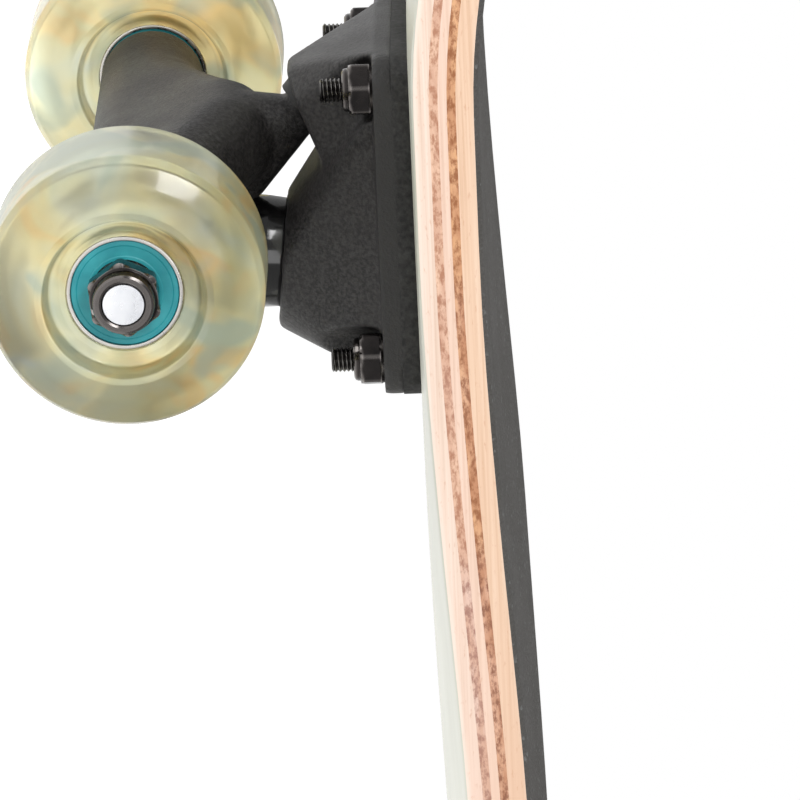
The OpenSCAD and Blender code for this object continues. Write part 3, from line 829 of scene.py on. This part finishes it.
def build_kingpin(end):
    """The kingpin bolt and what is on it: two bushings, the cup washer and the lock nut."""
    bore = BUSHING_BORE
    board = rounded([(bore, -1.15, 0.3), (10.6, -1.15, 0.8), (11.0, 3, 2), (11.1, 6.5, 4), (11.0, 10, 2),
                     (10.7, RING_TOP + SEAT_H - 0.1, 0.9), (bore, RING_TOP + SEAT_H - 0.1, 0.3)])
    piece = make(f"{end}_board_bushing", turned("bushing", board, on_kingpin(end, 0), 96),
                 f"{end}_bushing_board", None, 40)
    blend_on_kingpin(piece)
    road = rounded([(bore, 0.05, 0.3), (10.4, 0.05, 0.8), (10.9, 2.5, 2), (10.2, 6, 3),
                    (8.8, ROAD_H - 0.05, 0.9), (bore, ROAD_H - 0.05, 0.3)])
    piece = make(f"{end}_road_bushing", turned("bushing", road, on_kingpin(end, RING_LOW - SEAT_H), 96),
                 f"{end}_bushing_road", None, 40)
    blend_on_kingpin(piece)
    washer = rounded([(KINGPIN_R + 0.25, 0, 0.2), (9.3, 0, 0.6), (9.6, -1.6, 0.1), (10.6, -1.6, 0.2),
                      (10.4, CUP_T, 0.9), (KINGPIN_R + 0.25, CUP_T, 0.2)])
    make(f"{end}_cup_washer", turned("washer", washer, on_kingpin(end, ROAD_LOW), 72),
         f"{end}_washer_road", "root", 40)
    nut = lock_nut(KINGPIN_NUT_AF, KINGPIN_NUT_H, KINGPIN_R + 0.03, on_kingpin(end, ROAD_LOW + CUP_T),
                   KINGPIN_COLLAR, KINGPIN_COLLAR_R)
    make(f"{end}_kingpin_lock_nut", nut, f"{end}_kingpin_nut", "root", 30)
    tip = ROAD_LOW + CUP_T + KINGPIN_NUT_H + 1
    head = -(FLANGE_Z + 4.2 - SEAT.z) / math.cos(KINGPIN_LEAN) + 1.5
    row = 0.15
    rows = [(KINGPIN_R, ROAD_LOW + row * k) for k in range(int((tip - 0.7 - ROAD_LOW) / row))]
    profile = [(0, head), (KINGPIN_HEAD_R - 0.4, head), (KINGPIN_HEAD_R, head + 0.5),
               (KINGPIN_HEAD_R, head + 6), (KINGPIN_R, head + 6), *rows,
               (KINGPIN_R - 0.1, tip - 0.6), (KINGPIN_R - 0.7, tip), (0, tip)]
    bolt = turned("kingpin", profile, on_kingpin(end, 0), 48, closed=False,
                  thread=(ROAD_LOW, tip - 0.8, KINGPIN_PITCH, KINGPIN_THREAD))
    make(f"{end}_kingpin_bolt", bolt, f"{end}_kingpin", "root", 40)


# ---------------------------------------------------------------- axle, wheels and bearings
WHEEL_Y = centre_mm("front_left_tyre").y
WHEEL_W = (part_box("front_left_tyre")[1].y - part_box("front_left_tyre")[0].y) / MM
AXLE_Z = centre_mm("front_left_tyre").z
# Tyre: radius, and the radius of its core between the bearings
TYRE_R, CORE_R = 26, 8.4
# Axle: radius, and the pitch, depth and length of its thread
AXLE_R, AXLE_PITCH, AXLE_THREAD, AXLE_THREAD_L = 3.96, 1.06, 0.5, 13
# Washers' thickness, inner and outer radius
WASHER_T, WASHER_BORE, WASHER_R = 0.8, 4.1, 5.8
# Where the wheel's bearings start, outwards from the board's middle line
STACK_Y = HANGER_HALF + WASHER_T
# A bearing's width, and the two bearings' span over their outer faces
BEARING_W, BEARING_SPAN = 7, 24
# Radii of a bearing: its outside, the outer race's bore, the inner race's rim and the shields' edge
RACE_R, LAND_OUT_R, LAND_IN_R, SHIELD_R = 11, 8.95, 6.05, 10.1
# How far the shields' backs are below the races' faces
SHIELD_DEPTH = 0.8
# Axle nuts: height, width across flats, collar height and radius, and how the two stand turned
AXLE_NUT_H, AXLE_NUT_AF, AXLE_COLLAR, AXLE_COLLAR_R = 7, 12.7, 2.9, 5.8
AXLE_NUT_TURNS = {"left": 0.35, "right": 0.61}


def on_axle(end, side, y):
    """A place with Z running outwards along the axle, at distance y from the board's middle line."""
    sign = SIDES[side]
    turn = Matrix.Rotation(-sign * math.pi / 2, 4, "X")
    return Matrix.Translation((ENDS[end] * TRUCK_X, sign * y, AXLE_Z)) @ turn


def build_axle(end, hanger_body):
    """The axle bar, with its thread cut at the left end only, and the nuts and washers on both ends."""
    tip = (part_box(f"{end}_axle")[1].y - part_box(f"{end}_axle")[0].y) / MM / 2
    profile = [(0, tip), (AXLE_R - 1.2, tip - 0.02), (AXLE_R - 0.14, tip - 0.05)]
    profile += [(AXLE_R - 0.03, tip - 0.3)] + [(AXLE_R, tip - 1.0 - 0.16 * k) for k in range(80)]
    profile += [(r, -h) for r, h in reversed(profile)]
    thread = (tip - AXLE_THREAD_L, tip - 1.1, AXLE_PITCH, AXLE_THREAD)
    axle = turned("axle", profile, on_axle(end, "left", 0), 48, closed=False, thread=thread)
    make(f"{end}_axle_bar", axle, f"{end}_axle", hanger_body, 40)
    nuts = []
    for side, turn in AXLE_NUT_TURNS.items():
        seat = on_axle(end, side, STACK_Y + BEARING_SPAN + WASHER_T) @ Matrix.Rotation(turn, 4, "Z")
        nuts.append(lock_nut(AXLE_NUT_AF, AXLE_NUT_H, AXLE_R + 0.05, seat, AXLE_COLLAR, AXLE_COLLAR_R))
    make(f"{end}_axle_lock_nuts", joined("nuts", nuts), f"{end}_axle_nuts", hanger_body, 30)
    ring = rounded([(WASHER_BORE, 0, 0.15), (WASHER_R, 0, 0.25), (WASHER_R, WASHER_T, 0.25),
                    (WASHER_BORE, WASHER_T, 0.15)])
    washers = [turned("washer", ring, on_axle(end, side, y), 48)
               for side in SIDES for y in (HANGER_HALF, STACK_Y + BEARING_SPAN)]
    make(f"{end}_axle_washers", joined("washers", washers), f"{end}_speed_washers", hanger_body, 40)


def tyre_profile():
    """Outline of the tyre's outer half, from the bore to the middle of the tread."""
    face = WHEEL_W / 2
    seat = BEARING_SPAN / 2
    return [(CORE_R, 0, 0), (CORE_R, seat - BEARING_W, 0.4), (RACE_R, seat - BEARING_W, 0.2),
            (RACE_R, seat + 0.25, 0.3), (12.2, seat + 0.55, 0.5), (14.1, seat + 0.75, 1.4),
            (14.75, face - 1.2, 0.8), (15.3, face - 0.15, 0.6), (16.6, face, 1.2), (20.5, 15.35, 8),
            (24.9, 12.6, 1.6), (TYRE_R, 10.2, 2.4), (TYRE_R, 0, 0)]


def build_wheel(end, side):
    """A wheel's tyre, and the outer races and shields of its two bearings."""
    body = f"{end}_{side}_wheel"
    place = on_axle(end, side, WHEEL_Y)
    half = rounded(tyre_profile(), 6, closed=False)[1:-1]
    outline = half + [(r, -h) for r, h in reversed(half)]
    tyre = turned("tyre", outline, place, 160)
    make(f"{end}_{side}_tyre_casting", tyre, f"{end}_{side}_tyre", body, 45)
    races, shields = [], []
    width = BEARING_W / 2
    inner = width - SHIELD_DEPTH
    race = rounded([(LAND_OUT_R, -inner, 0), (SHIELD_R, -inner, 0), (SHIELD_R, -width, 0.15),
                    (RACE_R, -width, 0.5), (RACE_R, width, 0.5), (SHIELD_R, width, 0.15),
                    (SHIELD_R, inner, 0), (LAND_OUT_R, inner, 0)])
    shield = rounded([(LAND_IN_R + 0.25, 0, 0.1), (LAND_IN_R + 0.25, 0.45, 0.12), (6.9, 0.45, 0.2),
                      (7.1, 0.33, 0.1), (8.9, 0.33, 0.1), (9.1, 0.45, 0.2),
                      (SHIELD_R - 0.12, 0.45, 0.2), (SHIELD_R, 0.1, 0.1), (SHIELD_R, 0, 0)])
    for z in (-(BEARING_SPAN - BEARING_W) / 2, (BEARING_SPAN - BEARING_W) / 2):
        middle = place @ Matrix.Translation((0, 0, z))
        races.append(turned("race", race, middle, 96))
        for turn in (0, math.pi):
            face = middle @ Matrix.Rotation(turn, 4, "X") @ Matrix.Translation((0, 0, inner))
            shields.append(turned("shield", shield, face, 96))
    make(f"{end}_{side}_race_rings", joined("races", races), f"{end}_{side}_outer_races", body, 35)
    make(f"{end}_{side}_shield_rings", joined("shields", shields), f"{end}_{side}_shields", body, 35)


# ---------------------------------------------------------------- stage, light and camera
# Strength of the white world as a light, and of the floor's own glow
AMBIENT, FLOOR_GLOW = 0.36, 0.84
# The floor is this far below the wheels at rest, because a steered wheel reaches below the others
STEER_DROP = 0.017
FLOOR_SIZE = 14
# name, place, size and power in watts
LAMPS = (("key", (-1.6, -1.2, 0.9), 0.7, 23), ("front", (-0.3, -2.0, 0.7), 1.0, 6),
         ("back", (0.5, 1.7, 1.2), 1.2, 6), ("top", (0.2, 0, 2.2), 1.4, 10))
LAMPS_AIM = (0, 0, 0.06)
VIEW_AZIMUTH, VIEW_ELEVATION, VIEW_ROLL = (math.radians(a) for a in (-17.3, 1.05, 87.9))
VIEW_LENS, VIEW_SENSOR = 381.9, 36
# The near end of the rear axle, from the camera: across and up the picture, and its distance
NEAR_END = (-0.0509, 0.01745, 1.561)


def look_at(obj, target):
    """Turn a lamp towards a point."""
    obj.rotation_euler = (Vector(target) - obj.location).to_track_quat("-Z", "Y").to_euler()


def build_studio_world():
    """An even white studio: plain white behind the object and through clear parts, softer as a light."""
    world = bpy.data.worlds.new("studio")
    bpy.context.scene.world = world
    world.use_nodes = True
    tree = world.node_tree
    tree.nodes["Background"].inputs["Color"].default_value = (1, 1, 1, 1)
    rays = tree.nodes.new("ShaderNodeLightPath")
    seen = tree.nodes.new("ShaderNodeMath")
    seen.operation = "MAXIMUM"
    level = tree.nodes.new("ShaderNodeMapRange")
    level.inputs["To Min"].default_value = AMBIENT
    level.inputs["To Max"].default_value = 1.0
    tree.links.new(rays.outputs["Is Camera Ray"], seen.inputs[0])
    tree.links.new(rays.outputs["Is Transmission Ray"], seen.inputs[1])
    tree.links.new(seen.outputs["Value"], level.inputs["Value"])
    tree.links.new(level.outputs["Result"], tree.nodes["Background"].inputs["Strength"])


def build_stage():
    """The pale floor, the world and the lamps."""
    bpy.ops.mesh.primitive_plane_add(size=FLOOR_SIZE, location=(0, 0, -STEER_DROP))
    floor = bpy.context.object
    floor.name = "floor"
    f = Finish("floor_paint", Roughness=0.9, Specular_IOR_Level=0.1)
    shade = f.ramp(f.noise(3, 2), (0.3, colour(178, 178, 178)), (0.7, colour(182, 182, 182)))
    f.set("Base Color", shade)
    f.shader.inputs["Emission Color"].default_value = (1, 1, 1, 1)
    f.shader.inputs["Emission Strength"].default_value = FLOOR_GLOW
    floor.data.materials.append(f.material)
    build_studio_world()
    for name, place, size, power in LAMPS:
        data = bpy.data.lights.new(name, "AREA")
        data.size = size
        data.energy = power
        lamp = bpy.data.objects.new(name, data)
        lamp.location = place
        bpy.context.scene.collection.objects.link(lamp)
        look_at(lamp, LAMPS_AIM)
    settings = bpy.context.scene.view_settings
    settings.view_transform = "Standard"
    settings.look = "None"


def build_camera():
    """A long lens beside the rear truck, rolled so that the board hangs by its tail."""
    back = Vector((math.sin(VIEW_AZIMUTH) * math.cos(VIEW_ELEVATION),
                   -math.cos(VIEW_AZIMUTH) * math.cos(VIEW_ELEVATION), math.sin(VIEW_ELEVATION)))
    level = Vector((math.cos(VIEW_AZIMUTH), math.sin(VIEW_AZIMUTH), 0))
    rise = back.cross(level)
    right = level * math.cos(VIEW_ROLL) + rise * math.sin(VIEW_ROLL)
    up = rise * math.cos(VIEW_ROLL) - level * math.sin(VIEW_ROLL)
    low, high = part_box("rear_axle")
    near_end = Vector(((low.x + high.x) / 2, low.y, (low.z + high.z) / 2))
    data = bpy.data.cameras.new("camera")
    data.lens = VIEW_LENS
    data.sensor_width = VIEW_SENSOR
    data.clip_start = 0.05
    data.clip_end = 50
    camera = bpy.data.objects.new("camera", data)
    bpy.context.scene.collection.objects.link(camera)
    place = near_end + back * NEAR_END[2] - right * NEAR_END[0] - up * NEAR_END[1]
    camera.matrix_world = Matrix((
        (right.x, up.x, back.x, place.x),
        (right.y, up.y, back.y, place.y),
        (right.z, up.z, back.z, place.z),
        (0, 0, 0, 1)))
    bpy.context.scene.camera = camera


build_camera()
build_stage()
build_deck()
for end_name in ENDS:
    hanger = f"{end_name}_hanger_assembly"
    build_castings(end_name, hanger)
    build_riser(end_name)
    build_deck_hardware(end_name)
    build_kingpin(end_name)
    build_axle(end_name, hanger)
    for side_name in SIDES:
        build_wheel(end_name, side_name)
